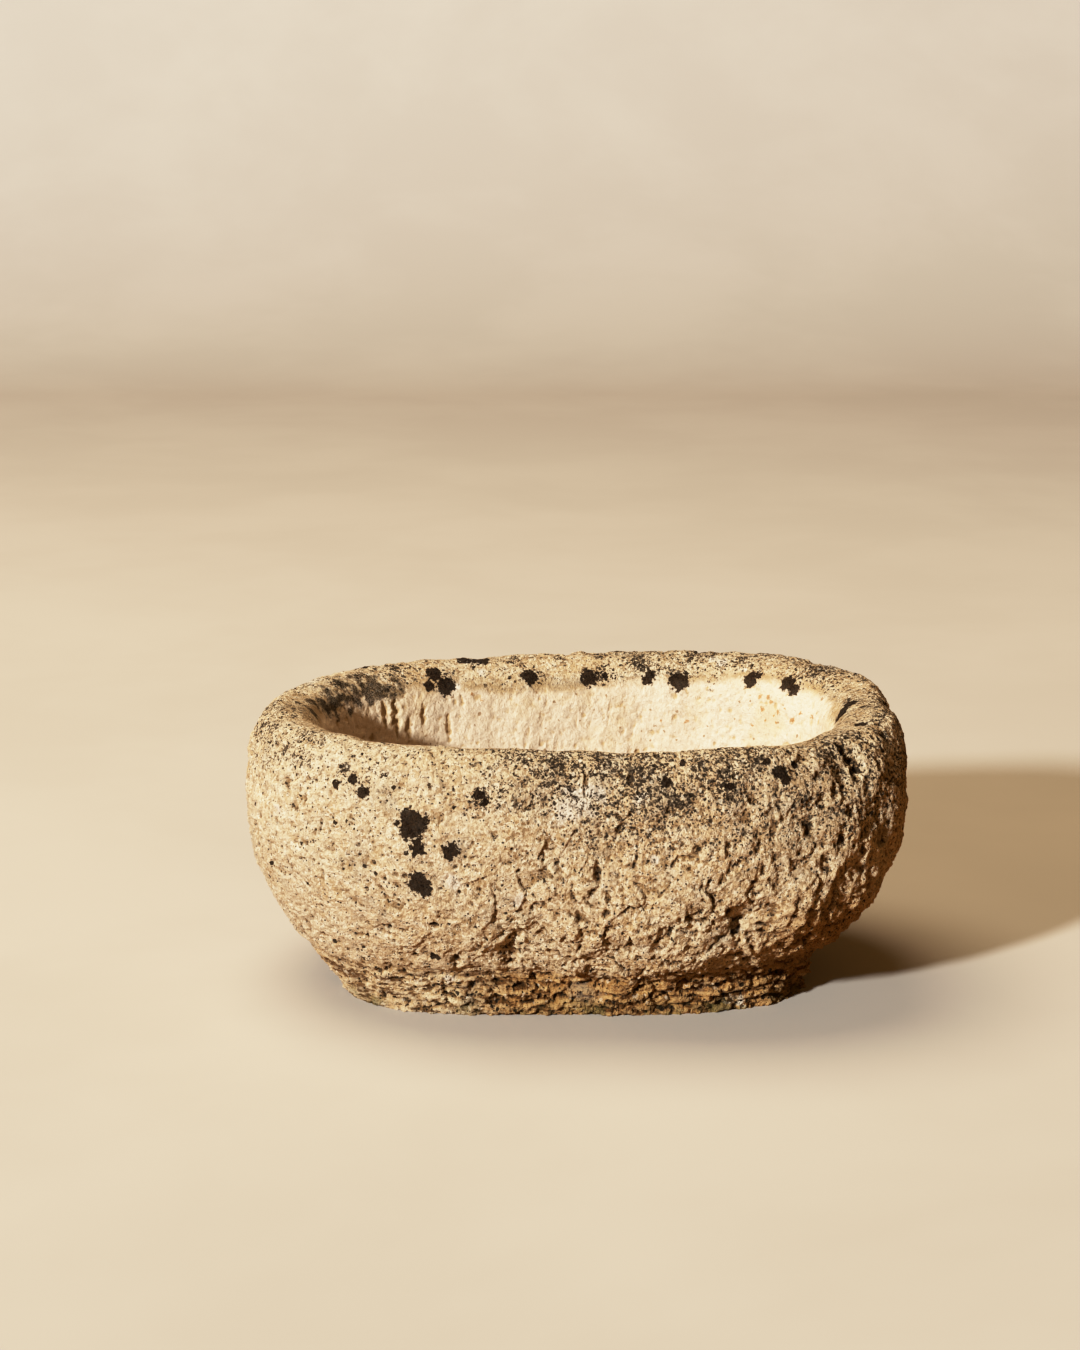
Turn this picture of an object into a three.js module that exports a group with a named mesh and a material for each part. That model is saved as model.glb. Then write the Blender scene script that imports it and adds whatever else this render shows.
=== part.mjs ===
// A hand-hewn stone planter: one block of limestone, hollowed out by hand, standing on a low foot,
// with a drain hole bored through its floor. Lengths are in millimetres. +Z is up, +X runs along
// the stone to its right end and -Y is the front. The origin is on the ground under the middle.
import * as THREE from "three";
import { ImprovedNoise } from "three/addons/math/ImprovedNoise.js";

// The block at its widest level, the belly, and at the crest of the rim
const LENGTH = 430;
const DEPTH = 292;
const HEIGHT = 191;
const BELLY_HEIGHT = 122;

// The foot, which the belly turns in over
const FOOT_LENGTH = 310;
const FOOT_DEPTH = 184;
const FOOT_HEIGHT = 33;
const LEDGE_REACH = 9; // how far the stone steps out above the foot

// The wall, measured level from the belly to the lip, which is the inner edge of the rim
const END_WALL = 46;
const SIDE_WALL = 44;
const LIP_DROP = 20; // crest down to lip
const RIM_DIP = 10; // how far the worn rim falls at its lowest

// The hollow and its drain
const FLOOR_THICKNESS = 46;
const BATTER = 14; // how far the inner wall leans in on its way down to the cove
const COVE_RADIUS = 32; // round corner between the inner wall and the floor
const DRAIN_RADIUS = 11;
const DRAIN_FUNNEL = 6; // worn edge round the top of the drain

// Marks of roughing out the block: broad swells, scoops where lumps broke away, and the smaller
// marks of the pick on them. Down the inner wall a punch left long upright flutes.
const SWELL_DEPTH = 3;
const SWELL_SPACING = 62;
const SCOOP_DEPTH = 3.6;
const SCOOP_SPACING = 31;
const PICK_DEPTH = 1.3;
const PICK_SPACING = 19;
const FLUTE_DEPTH = 2.4;
const FLUTE_SPACING = 25;
const FLUTE_STRETCH_SHARE = 0.3; // a flute's height is its width over this

// Hollows knocked out of the outer wall
const HOLLOW_WIDTH = 30;
const HOLLOW_DEPTH = 7;

// Plan outlines are rounded oblongs: a power of 2 is an ellipse, and a higher one is squarer.
const BELLY_POWER = 2.6;
const FOOT_POWER = 3.1;
const LIP_POWER = 2.4;

// Hand work pulls each outline in or out. Each list has one share for every 30 degrees, from the
// right end round by the back, the left end and the front.
const BELLY_SHARES = [0.975, 1.015, 1.06, 1.02, 1, 1, 1.01, 1, 1, 0.99, 1.02, 1.02];
const FOOT_SHARES = [0.945, 0.98, 1, 1, 1, 1, 1.01, 1.02, 0.98, 0.97, 0.98, 0.96];
const LIP_SHARES = [0.955, 0.985, 1.03, 1.01, 1, 1, 1, 1, 1, 1, 1, 0.975];
const DIP_SHARES = [0.5, 0, 0.15, 0.3, 0.4, 0.7, 0.85, 0.85, 0.8, 1, 0.85, 0.85];
// How far the shoulder draws in towards the crest, which is less where the stone is full
const DRAW_IN_SHARES = [0.6, 0.85, 1, 1, 1, 0.9, 0.78, 0.9, 1, 1, 1, 0.9];
// How far the ledge stands out over the foot, and how deeply it is cut in below, where 0 is a slope
const LEDGE_SHARES = [2, 1.3, 0.9, 0.8, 0.9, 1.6, 2.8, 2.1, 1.8, 2.1, 2.4, 1.9];
const UNDERCUT_SHARES = [1, 0.9, 0.7, 0.6, 0.5, 0.2, 0, 0.1, 0.8, 1, 1, 1];

// How rough the scoops are: the right and the lower front are craggy, the left end and the rim worn
const SCOOP_SHARES = [1, 0.9, 0.8, 0.8, 0.8, 0.6, 0.35, 0.35, 0.6, 1, 1.1, 1.1];
const RIM_WEAR_SHARE = 0.7;

// The outer wall bulges out from the ledge to the belly: a power of 1 is a straight slope, and a
// higher one stands up steeper. The list has one power for every 30 degrees, as above.
const FLANK_POWERS = [1.75, 1.8, 2, 2, 2, 2, 2.15, 2.3, 2.5, 2.7, 3.1, 2.15];
// The side of the foot up to the ledge, as shares of the foot's height, of the ledge's reach and of
// what the undercut takes off that reach
const FOOT_SIDE_SHARES = [
  [0.5, 0.5, 0.3],
  [0.9, 0.9, 0.4],
];
const FLANK_SHARES = [0.03, 0.12, 0.26, 0.44, 0.7, 1]; // of the way up from the ledge to the belly
// The shoulder from the belly to the crest, as shares of the way up and of the wall's thickness
const SHOULDER_SHARES = [
  [0.4, 0.03],
  [0.68, 0.11],
  [0.88, 0.25],
  [0.98, 0.4],
  [1, 0.54],
];
// The inner slope of the rim from the crest to the lip, as shares of the drop and of the thickness
const SLOPE_SHARES = [
  [0.1, 0.7],
  [0.42, 0.87],
  [1, 1],
];
// The inner wall from the lip to the cove, as shares of the way down and of the batter
const INNER_WALL_SHARES = [
  [0.3, 0.3],
  [0.65, 0.65],
  [1, 1],
];
// Places of the knocked-out hollows: shares of a turn, of the belly's height, of width and of depth.
// A negative depth is a lump left standing.
const HOLLOW_SHARES = [
  [0.697, 0.42, 0.5, 0.8],
  [0.665, 0.36, 0.4, 0.5],
  [0.762, 0.82, 0.35, 0.5],
  [0.852, 0.62, 0.4, 0.8],
  [0.878, 0.62, 0.5, -0.6],
  [0.91, 1.38, 0.4, 1.1],
  [0.735, 0.85, 1.3, 0.3],
  [0.58, 0.6, 1.6, 0.4],
  [0.3, 0.7, 1.4, 0.5],
];

const AROUND = 108; // sections round the stone
const OUTER_STEPS = 24; // points up each section's outside, and down its inside
const INNER_STEPS = 21;
const COVE_STEPS = 3;
const FLOOR_SHARES = [0.62, 0.3];
const FULL_TURN = 2 * Math.PI;
const QUARTER_TURN = Math.PI / 2;

// A smooth closed curve through a list of evenly spaced shares
function shareAt(shares, angle) {
  const place = (THREE.MathUtils.euclideanModulo(angle, FULL_TURN) / FULL_TURN) * shares.length;
  const first = Math.floor(place);
  const t = place - first;
  const [a, b, c, d] = [-1, 0, 1, 2].map((k) => shares[(first + k + shares.length) % shares.length]);
  const ease = 2 * a - 5 * b + 4 * c - d + t * (3 * (b - c) + d - a);
  return b + (t * (c - a + t * ease)) / 2;
}

// How far a rounded oblong reaches from its middle in one direction
function oblongReach(angle, length, depth, power) {
  const alongX = Math.abs((2 * Math.cos(angle)) / length) ** power;
  const alongY = Math.abs((2 * Math.sin(angle)) / depth) ** power;
  return (alongX + alongY) ** (-1 / power);
}

function bellyReach(angle) {
  return oblongReach(angle, LENGTH, DEPTH, BELLY_POWER) * shareAt(BELLY_SHARES, angle);
}

function footReach(angle) {
  return oblongReach(angle, FOOT_LENGTH, FOOT_DEPTH, FOOT_POWER) * shareAt(FOOT_SHARES, angle);
}

function lipReach(angle) {
  const length = LENGTH - 2 * END_WALL;
  const depth = DEPTH - 2 * SIDE_WALL;
  return oblongReach(angle, length, depth, LIP_POWER) * shareAt(LIP_SHARES, angle);
}

// A smooth line of points through some corners, spaced evenly along it
function smoothLine(corners, steps) {
  const points = corners.map(([reach, height]) => new THREE.Vector3(reach, 0, height));
  return new THREE.CatmullRomCurve3(points, false, "centripetal").getSpacedPoints(steps);
}

// The outside of the wall in one direction, from the ground over the ledge and belly to the crest
function outsideLine(angle) {
  const foot = footReach(angle);
  const belly = bellyReach(angle);
  const drawIn = (belly - lipReach(angle)) * shareAt(DRAW_IN_SHARES, angle);
  const step = LEDGE_REACH * shareAt(LEDGE_SHARES, angle);
  const ledge = foot + step;
  const undercut = shareAt(UNDERCUT_SHARES, angle);
  const crest = HEIGHT - RIM_DIP * shareAt(DIP_SHARES, angle);
  const flankRise = BELLY_HEIGHT - FOOT_HEIGHT;
  const shoulderRise = crest - BELLY_HEIGHT;
  const power = shareAt(FLANK_POWERS, angle);
  const bulge = (up) => ledge + (belly - ledge) * (1 - (1 - up) ** power);
  const corners = [
    [foot, 0],
    ...FOOT_SIDE_SHARES.map(([up, out, cut]) => [foot + step * (out - cut * undercut), up * FOOT_HEIGHT]),
    ...FLANK_SHARES.map((up) => [bulge(up), FOOT_HEIGHT + up * flankRise]),
    ...SHOULDER_SHARES.map(([up, thick]) => [belly - thick * drawIn, BELLY_HEIGHT + up * shoulderRise]),
  ];
  return smoothLine(corners, OUTER_STEPS);
}

// The inside in the same direction, from the crest over the lip and down the wall to the floor
function insideLine(angle, crestPoint) {
  const belly = bellyReach(angle);
  const lip = lipReach(angle);
  const lipHeight = crestPoint.z - LIP_DROP;
  const wall = belly - lip;
  const coveTop = FLOOR_THICKNESS + COVE_RADIUS;
  const coveMiddle = lip - BATTER - COVE_RADIUS;
  const drop = lipHeight - coveTop;
  const corners = [
    [crestPoint.x, crestPoint.z],
    ...SLOPE_SHARES.map(([down, thick]) => [belly - thick * wall, crestPoint.z - down * LIP_DROP]),
    ...INNER_WALL_SHARES.map(([down, lean]) => [lip - lean * BATTER, lipHeight - down * drop]),
  ];
  for (let i = 1; i <= COVE_STEPS; i++) {
    const turn = (QUARTER_TURN * i) / COVE_STEPS;
    corners.push([coveMiddle + COVE_RADIUS * Math.cos(turn), coveTop - COVE_RADIUS * Math.sin(turn)]);
  }
  return smoothLine(corners, INNER_STEPS).slice(1);
}

// The floor from the cove to the drain, down the drain, ending on the ground
function floorLine(coveFoot) {
  const funnelReach = DRAIN_RADIUS + DRAIN_FUNNEL;
  const floorReach = coveFoot.x - funnelReach;
  const points = FLOOR_SHARES.map((share) => [funnelReach + share * floorReach, FLOOR_THICKNESS]);
  points.push([funnelReach, FLOOR_THICKNESS]);
  points.push([DRAIN_RADIUS, FLOOR_THICKNESS - DRAIN_FUNNEL]);
  points.push([DRAIN_RADIUS, 0]);
  return points.map(([reach, height]) => new THREE.Vector3(reach, 0, height));
}

const noise = new ImprovedNoise();

// How far one kind of working leaves the surface from its smooth line at one point
function marks(point, depth, spacing, upShare = 1) {
  const place = point.clone().divideScalar(spacing);
  return depth * noise.noise(place.x, place.y, place.z * upShare);
}

function outsideMarks(point, angle) {
  const worn = RIM_WEAR_SHARE * THREE.MathUtils.smoothstep(point.z, BELLY_HEIGHT, HEIGHT);
  const scoops = marks(point, SCOOP_DEPTH, SCOOP_SPACING) * shareAt(SCOOP_SHARES, angle);
  const picks = marks(point, PICK_DEPTH, PICK_SPACING);
  return marks(point, SWELL_DEPTH, SWELL_SPACING) + (1 - worn) * scoops + picks - hollowing(point, angle);
}

function insideMarks(point) {
  const flutes = marks(point, FLUTE_DEPTH, FLUTE_SPACING, FLUTE_STRETCH_SHARE);
  return marks(point, SWELL_DEPTH, SWELL_SPACING) + flutes;
}

// How deep the knocked-out hollows of the outer wall are at one point
function hollowing(point, angle) {
  let depth = 0;
  for (const [turnShare, heightShare, widthShare, depthShare] of HOLLOW_SHARES) {
    const away = angle - turnShare * FULL_TURN;
    if (Math.cos(away) <= 0) continue;
    const aside = Math.sin(away) * Math.hypot(point.x, point.y);
    const above = point.z - heightShare * BELLY_HEIGHT;
    const spread = Math.hypot(aside, above) / (widthShare * HOLLOW_WIDTH);
    depth += depthShare * HOLLOW_DEPTH * Math.exp(-spread * spread);
  }
  return depth;
}

// One section, with its hand work, turned to its direction
function sectionPoints(angle) {
  const outside = outsideLine(angle);
  const inside = insideLine(angle, outside[outside.length - 1]);
  const worked = [...outside, ...inside];
  const line = [...worked, ...floorLine(inside[inside.length - 1])];
  const axis = new THREE.Vector3(0, 0, 1);
  return line.map((point, i) => {
    const placed = point.clone().applyAxisAngle(axis, angle);
    const before = line[i - 1];
    const after = line[i + 1];
    if (i === 0 || i >= worked.length || !after) return placed;
    const normal = new THREE.Vector3(after.z - before.z, 0, before.x - after.x).normalize();
    const raised = i < outside.length ? outsideMarks(placed, angle) : insideMarks(placed);
    return placed.addScaledVector(normal.applyAxisAngle(axis, angle), raised);
  });
}

function stoneGeometry() {
  const sections = [];
  for (let i = 0; i < AROUND; i++) sections.push(sectionPoints((FULL_TURN * i) / AROUND));
  const count = sections[0].length;
  const corner = (i, k) => (i % AROUND) * count + (k % count);
  const triangles = [];
  for (let i = 0; i < AROUND; i++) {
    for (let k = 0; k < count; k++) {
      triangles.push(corner(i, k), corner(i + 1, k), corner(i + 1, k + 1));
      triangles.push(corner(i, k), corner(i + 1, k + 1), corner(i, k + 1));
    }
  }
  const geometry = new THREE.BufferGeometry().setFromPoints(sections.flat());
  geometry.setIndex(triangles);
  geometry.computeBoundingBox();
  const middle = geometry.boundingBox.getCenter(new THREE.Vector3());
  geometry.translate(-middle.x, -middle.y, 0);
  geometry.computeVertexNormals();
  return geometry;
}

const limestone = new THREE.MeshStandardMaterial({ color: 0xcdb996, roughness: 0.95, metalness: 0 });
const stone = new THREE.Mesh(stoneGeometry(), limestone);
stone.name = "stone_body";

const planter = new THREE.Group();
planter.add(stone);
export default planter;
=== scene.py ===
# %% [markdown]
# # A hand-hewn limestone planter
# The object is one block of pale limestone. A mason squared it roughly, hollowed it with a pick, and
# left it outdoors for a very long time. There is nothing to assemble, so the whole lesson is about one
# surface: how a dressed, pitted and weathered stone is made from a plain solid.
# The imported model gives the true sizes. It is opened first, and its box is kept, because nothing made
# here may stand outside it.

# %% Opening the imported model
import math

import bpy
import numpy as np
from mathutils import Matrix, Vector, kdtree
from mathutils.bvhtree import BVHTree


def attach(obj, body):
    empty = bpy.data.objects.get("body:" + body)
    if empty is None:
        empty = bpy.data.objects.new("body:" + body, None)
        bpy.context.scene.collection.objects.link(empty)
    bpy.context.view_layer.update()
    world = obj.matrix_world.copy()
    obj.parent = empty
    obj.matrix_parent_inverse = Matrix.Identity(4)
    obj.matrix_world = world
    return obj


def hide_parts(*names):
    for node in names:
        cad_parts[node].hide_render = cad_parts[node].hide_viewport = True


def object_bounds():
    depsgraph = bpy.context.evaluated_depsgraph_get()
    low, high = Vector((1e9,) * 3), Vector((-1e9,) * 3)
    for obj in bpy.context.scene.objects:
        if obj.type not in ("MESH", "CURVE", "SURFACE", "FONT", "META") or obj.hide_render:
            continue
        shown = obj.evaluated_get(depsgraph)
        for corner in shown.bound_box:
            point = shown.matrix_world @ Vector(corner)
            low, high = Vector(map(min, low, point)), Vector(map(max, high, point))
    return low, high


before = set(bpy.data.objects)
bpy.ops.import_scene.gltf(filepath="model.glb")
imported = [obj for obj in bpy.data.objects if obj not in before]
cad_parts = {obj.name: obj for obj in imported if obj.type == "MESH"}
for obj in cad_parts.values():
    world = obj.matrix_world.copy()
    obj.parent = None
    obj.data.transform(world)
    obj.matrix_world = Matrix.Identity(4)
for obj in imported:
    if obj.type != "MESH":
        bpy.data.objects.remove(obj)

bpy.context.view_layer.update()
solid_box = [list(corner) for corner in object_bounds()]
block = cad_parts["stone_body"]
print("solid box in metres:", np.round(solid_box, 4).tolist())

# %% [markdown]
# The camera looks at the stone from a little under two metres away and about thirteen degrees above
# the level, with a fairly long lens. The long lens matters: the two ends of the rim are at nearly the
# same scale, and a wide lens would blow up the near flank and shrink the far side of the rim.

# %% The camera
PICTURE_WIDTH, PICTURE_HEIGHT = 1080, 1350
FOCAL_PIXELS = 2800
HORIZON_ROW = 27
CAMERA_PLACE = Vector((-0.0231, -1.783, 0.614))
pitch = math.atan((PICTURE_HEIGHT / 2 - HORIZON_ROW) / FOCAL_PIXELS)


def add_object(name, data):
    """A new object in the scene, with that mesh, lamp or camera as its data."""
    made = bpy.data.objects.new(name, data)
    bpy.context.scene.collection.objects.link(made)
    return made


camera = add_object("camera", bpy.data.cameras.new("camera"))
camera.data.sensor_width = 36
camera.data.lens = FOCAL_PIXELS * camera.data.sensor_width / PICTURE_HEIGHT
camera.location = CAMERA_PLACE
camera.rotation_euler = (math.pi / 2 - pitch, 0, 0)
bpy.context.scene.camera = camera
print("lens", round(camera.data.lens, 1), "mm, looking down", round(math.degrees(pitch), 1), "degrees")

# %% [markdown]
# Places on the stone, such as a lichen or a deep pit, are easiest to name by where they show in the
# picture. A straight line from the camera through that place meets the solid at the real point, so
# each mark lies on the stone and stays there from every side.

# %% From a place in the picture to a point on the stone
solid_tree = BVHTree.FromObject(block, bpy.context.evaluated_depsgraph_get())
view_turn = camera.rotation_euler.to_matrix()


def on_stone(column, row):
    """The point of the stone that shows at this place of the picture, and its distance."""
    sight = Vector((column - PICTURE_WIDTH / 2, PICTURE_HEIGHT / 2 - row, -FOCAL_PIXELS))
    point, _, _, distance = solid_tree.ray_cast(CAMERA_PLACE, (view_turn @ sight).normalized())
    if point is None:
        print("no stone at", column, row)
        return Vector(), 1
    return point, distance


print("front of the belly is", round(on_stone(576, 860)[1], 3), "m from the camera")

# %% [markdown]
# The solid is a loft: the same line of points, from the foot over the rim and down to the drain, is
# repeated all the way round. Reading those lines back gives a neat grid, and a finer skin is drawn
# through it with smooth curves. A voxel remesh would also give a fine skin, but its faces run in
# every direction, and here rows and columns that follow the stone make the tool marks and the
# flattened map of the surface simple.

# %% Reading the solid's section lines
corner_places = np.empty(len(block.data.vertices) * 3)
block.data.vertices.foreach_get("co", corner_places)
corner_places = np.unique(np.round(corner_places.reshape(-1, 3), 7), axis=0)
ground_ring = corner_places[corner_places[:, 2] < 1e-6]
from_middle = np.hypot(*(ground_ring - ground_ring.mean(0))[:, :2].T)
drain_ring = ground_ring[from_middle < from_middle.mean() / 2]
drain_axis = drain_ring.mean(0)
SECTIONS = len(drain_ring)


def section_line(number):
    """Reach from the drain's axis and height, from the foot's edge to the bottom of the drain."""
    around = np.arctan2(*(corner_places - drain_axis)[:, 1::-1].T) * SECTIONS / (2 * math.pi)
    points = corner_places[np.rint(around).astype(int) % SECTIONS == number]
    loose = [(math.hypot(*(p - drain_axis)[:2]), p[2]) for p in points]
    line = [max(loose, key=lambda p: p[0] - 9 * p[1])]  # the foot's edge is far out and lowest
    loose.remove(line[0])
    while loose:
        line.append(min(loose, key=lambda p: math.dist(p, line[-1])))
        loose.remove(line[-1])
    return line


sections = np.array([section_line(number) for number in range(SECTIONS)])
print(SECTIONS, "section lines of", sections.shape[1], "points")

# %% Drawing a finer grid through them
COLUMNS = 1536
ROW_STEP = 0.001
WORKED_ROWS = 46  # points of a section line before it reaches the flat floor


def through(values, place, closed):
    """Smooth curve through values along their first axis, read at fractional places."""
    first = np.floor(place).astype(int)
    t = (place - first).reshape(-1, *[1] * (values.ndim - 1))
    near = [first + k for k in (-1, 0, 1, 2)]
    near = [k % len(values) if closed else np.clip(k, 0, len(values) - 1) for k in near]
    a, b, c, d = (values[k] for k in near)
    return b + t * (c - a + t * (2 * a - 5 * b + 4 * c - d + t * (3 * (b - c) + d - a))) / 2


columns = through(sections, np.arange(COLUMNS) * SECTIONS / COLUMNS, True)
lengths = np.linalg.norm(np.diff(sections[:, :WORKED_ROWS], axis=1), axis=2).mean(0)
travelled = np.concatenate([[0], np.cumsum(lengths)])
rows = int(travelled[-1] / ROW_STEP)
row_places = np.interp(np.linspace(0, travelled[-1], rows), travelled, np.arange(WORKED_ROWS))
skin = through(columns.swapaxes(0, 1)[:WORKED_ROWS], row_places, False)
crest_row = int(np.argmax(skin[:, :, 1].mean(1)))
print("skin of", rows, "rows and", COLUMNS, "columns, crest at row", crest_row)

# %% [markdown]
# The floor, the drain and the underside are narrower than the wall, so their rings have fewer
# columns. Each ring may have half as many columns as the one before it, joined by a triangle and a
# quad in turn. Every face keeps the number of its ring, which the flattened map of the surface
# needs later.

# %% Rings from the foot over the rim to the drain and back under the foot
HALF, QUARTER, EIGHTH = COLUMNS // 2, COLUMNS // 4, COLUMNS // 8


def ring_points(reach_and_height):
    """A ring of points in metres, from its reach and height in each of its columns."""
    turn = 2 * math.pi * np.arange(len(reach_and_height)) / len(reach_and_height)
    reach, height = reach_and_height.T
    flat = np.stack([reach * np.cos(turn), reach * np.sin(turn)], axis=1) + drain_axis[:2]
    return np.column_stack([flat, height])


rings = [ring_points(row) for row in skin]


def add_rings(inner, outer, shares, count):
    """Rings at those shares of the way from one section point to the next, with that many columns."""
    for share in shares:
        ring = inner + (outer - inner) * share
        rings.append(ring_points(ring[:: COLUMNS // count]))


def evenly(steps):
    """Equal steps, as shares of the whole way."""
    return np.linspace(0, 1, steps + 1)[1:]


corner_of = [columns[:, k] for k in range(columns.shape[1])]
foot_edge = corner_of[0]
last_worked, floor_outer, floor_inner, funnel, drain_top, drain_foot = corner_of[WORKED_ROWS - 1 :]
add_rings(last_worked, floor_outer, evenly(17), HALF)
add_rings(floor_outer, floor_inner, evenly(17), QUARTER)
add_rings(floor_inner, funnel, evenly(13), EIGHTH)
add_rings(funnel, drain_top, evenly(4), EIGHTH)
drain_start = len(rings)
add_rings(drain_top, drain_foot, evenly(13), EIGHTH)
under_start = len(rings)
add_rings(drain_foot, foot_edge, (0.08, 0.25), EIGHTH)
add_rings(drain_foot, foot_edge, (0.5, 0.75), QUARTER)
add_rings(drain_foot, foot_edge, (0.9, 0.97), HALF)
base_points = np.concatenate(rings)
ring_start = np.concatenate([[0], np.cumsum([len(ring) for ring in rings])])
print(len(rings), "rings,", len(base_points), "points")

# %% Faces between the rings
corners, sizes, face_ring = [], [], []


def join_rings(first, second):
    """Faces from one ring to the next, which may have half or twice as many points."""
    a, b = ring_start[first], ring_start[second]
    count_a, count_b = len(rings[first]), len(rings[second])
    i = np.arange(min(count_a, count_b))
    k = (i + 1) % len(i)
    if count_a == count_b:
        made = [np.column_stack([a + i, a + k, b + k, b + i])]
    elif count_a > count_b:
        far = (2 * i + 2) % count_a
        made = [np.column_stack([a + 2 * i, a + 2 * i + 1, b + i]),
                np.column_stack([a + 2 * i + 1, a + far, b + k, b + i])]
    else:
        far = (2 * i + 2) % count_b
        made = [np.column_stack([a + i, b + 2 * i + 1, b + 2 * i]),
                np.column_stack([a + i, a + k, b + far, b + 2 * i + 1])]
    for faces in made:
        corners.append(faces.ravel())
        sizes.append(np.full(len(faces), faces.shape[1]))
        face_ring.append(np.full(len(faces), first))


for number in range(len(rings)):
    join_rings(number, (number + 1) % len(rings))
print(sum(len(part) for part in sizes), "faces round", len(rings), "rings")

# %% The mesh of the stone
corner_list = np.concatenate(corners)
size_list = np.concatenate(sizes)
face_start = np.concatenate([[0], np.cumsum(size_list)[:-1]])
mesh = bpy.data.meshes.new("stone")
mesh.vertices.add(len(base_points))
mesh.vertices.foreach_set("co", base_points.ravel())
mesh.loops.add(len(corner_list))
mesh.loops.foreach_set("vertex_index", corner_list)
mesh.polygons.add(len(size_list))
mesh.polygons.foreach_set("loop_start", face_start)
mesh.polygons.foreach_set("use_smooth", np.ones(len(size_list), bool))
mesh.update(calc_edges=True)
problems = mesh.validate()
stone = add_object("weathered_stone", mesh)
print(len(size_list), "faces, repaired" if problems else "faces, sound")

# %% [markdown]
# Everything a mason and the weather did to the stone is a small change of depth, so from here each
# effect is a list of depths in millimetres, one for every point of the skin. Smooth noise with random
# slopes at the corners of a lattice gives lumps of any size. Blender's own noise would do the same
# one point at a time, and numpy does all the points at once.

# %% Noise in lumps of a chosen size
MILLIMETRE = 0.001
spots = base_points / MILLIMETRE


def drawn(shuffled, cell):
    """A number from 0 to 255 for each cell of space, always the same one for the same cell."""
    x, y, z = (cell & 255).T
    return shuffled[(shuffled[(shuffled[x] + y) & 255] + z) & 255]


def lumps(size, seed, stretch=(1, 1, 1), places=spots):
    """Smooth noise between about -1 and 1 over the stone, in lumps of that many millimetres."""
    dice = np.random.RandomState(seed)
    shuffled = dice.permutation(256)
    slopes = dice.normal(size=(256, 3))
    slopes /= np.linalg.norm(slopes, axis=1, keepdims=True)
    place = places / (size * np.array(stretch)) + dice.uniform(0, 99, 3)
    cell = np.floor(place).astype(int)
    inside = place - cell
    fade = inside**3 * (inside * (inside * 6 - 15) + 10)
    total = np.zeros(len(places))
    for corner in np.ndindex(2, 2, 2):
        slope = slopes[drawn(shuffled, cell + corner)]
        weight = np.prod(np.where(corner, fade, 1 - fade), axis=1)
        total += weight * (slope * (inside - corner)).sum(1)
    return 1.7 * total


def rough(size, seed, layers=3, stretch=(1, 1, 1), places=spots):
    """Lumps of one size with smaller and weaker lumps on them."""
    return sum(0.5**n * lumps(size * 0.47**n, seed + n, stretch, places) for n in range(layers))


def ease(values, low, high):
    """From 0 to 1 as values go from low to high, smoothly."""
    t = np.clip((values - low) / (high - low), 0, 1)
    return t * t * (3 - 2 * t)


print("thirty-millimetre lumps go from", np.round([rough(30, 1).min(), rough(30, 1).max()], 2))

# %% [markdown]
# The parts of the stone are worked differently. The rim and the band below it are fine and grainy, the
# right half is covered with short upright strokes of a pick, the lower front is broken into lumps, the
# left is worn smooth, and the foot shows the flat beds that the limestone was laid down in. Each part
# is a share from 0 to 1 at every point, so the effects can fade into one another.

# %% Where each kind of surface is
ring_of = np.repeat(np.arange(len(rings)), [len(ring) for ring in rings])
# Millimetres past the crest of the rim: below 0 on the outside, and above 0 on the inside.
past_crest = (ring_of - crest_row) * ROW_STEP / MILLIMETRE
across, deep, height = spots.T
mesh.update()
outward = np.empty(len(spots) * 3)
mesh.vertices.foreach_get("normal", outward)
outward = outward.reshape(-1, 3)

in_hollow = ease(past_crest + 5 * rough(22, 15, 2), 20, 33) * (ring_of < drain_start)
outer = (1 - ease(past_crest, -4, 8)) * (ring_of < under_start)
low_crown = -50 - 38 * ease(across, -60, 60)  # the band below the rim is taller on the right
crown = np.where(past_crest < 0, ease(past_crest + 12 * rough(36, 16, 2), low_crown, -14),
                 1 - ease(past_crest, 20, 36))
crown *= ring_of < rows
foot = outer * (1 - ease(height + 3 * lumps(40, 11), 28, 38))
picked = outer * (1 - foot) * ease(across + 26 * lumps(60, 12), -60, 40)
broken = outer * (1 - foot) * (1 - ease(height + 12 * lumps(50, 13), 72, 122))
broken *= ease(across + 22 * lumps(55, 14), -110, -30)
worn = outer * (1 - ease(across + 15 * lumps(70, 17), -110, -20))
print("share of the skin that is picked:", round(picked.mean(), 2), "and broken:", round(broken.mean(), 2))

# %% [markdown]
# First comes the ground of the surface: soft lumps everywhere, crags where the stone broke away in the
# lower front, thin flat beds along the foot, and a sandy grain. Noise folded at zero makes the
# crags: its sharp fold is a crack between rounded lumps. Smooth noise alone looks like dough, so two more
# patterns are added. Each chip that flew off under the pick left a small flat face, and a plane tilted
# at random in every cell of space makes these. Where the stone split along its beds it left low steps.
# Bending the space before a pattern is read keeps every edge from running straight.

# %% Cracks, facets and steps
bent = spots + 5 * np.column_stack([lumps(24, seed) for seed in (18, 19, 20)])


def cracks(size, seed, layers=2, stretch=(1, 1, 1)):
    """Rounded lumps between sharp cracks: near 0 on a lump and 1 in a crack."""
    return 1 - np.clip(1.5 * np.abs(rough(size, seed, layers, stretch, bent)), 0, 1)


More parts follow.
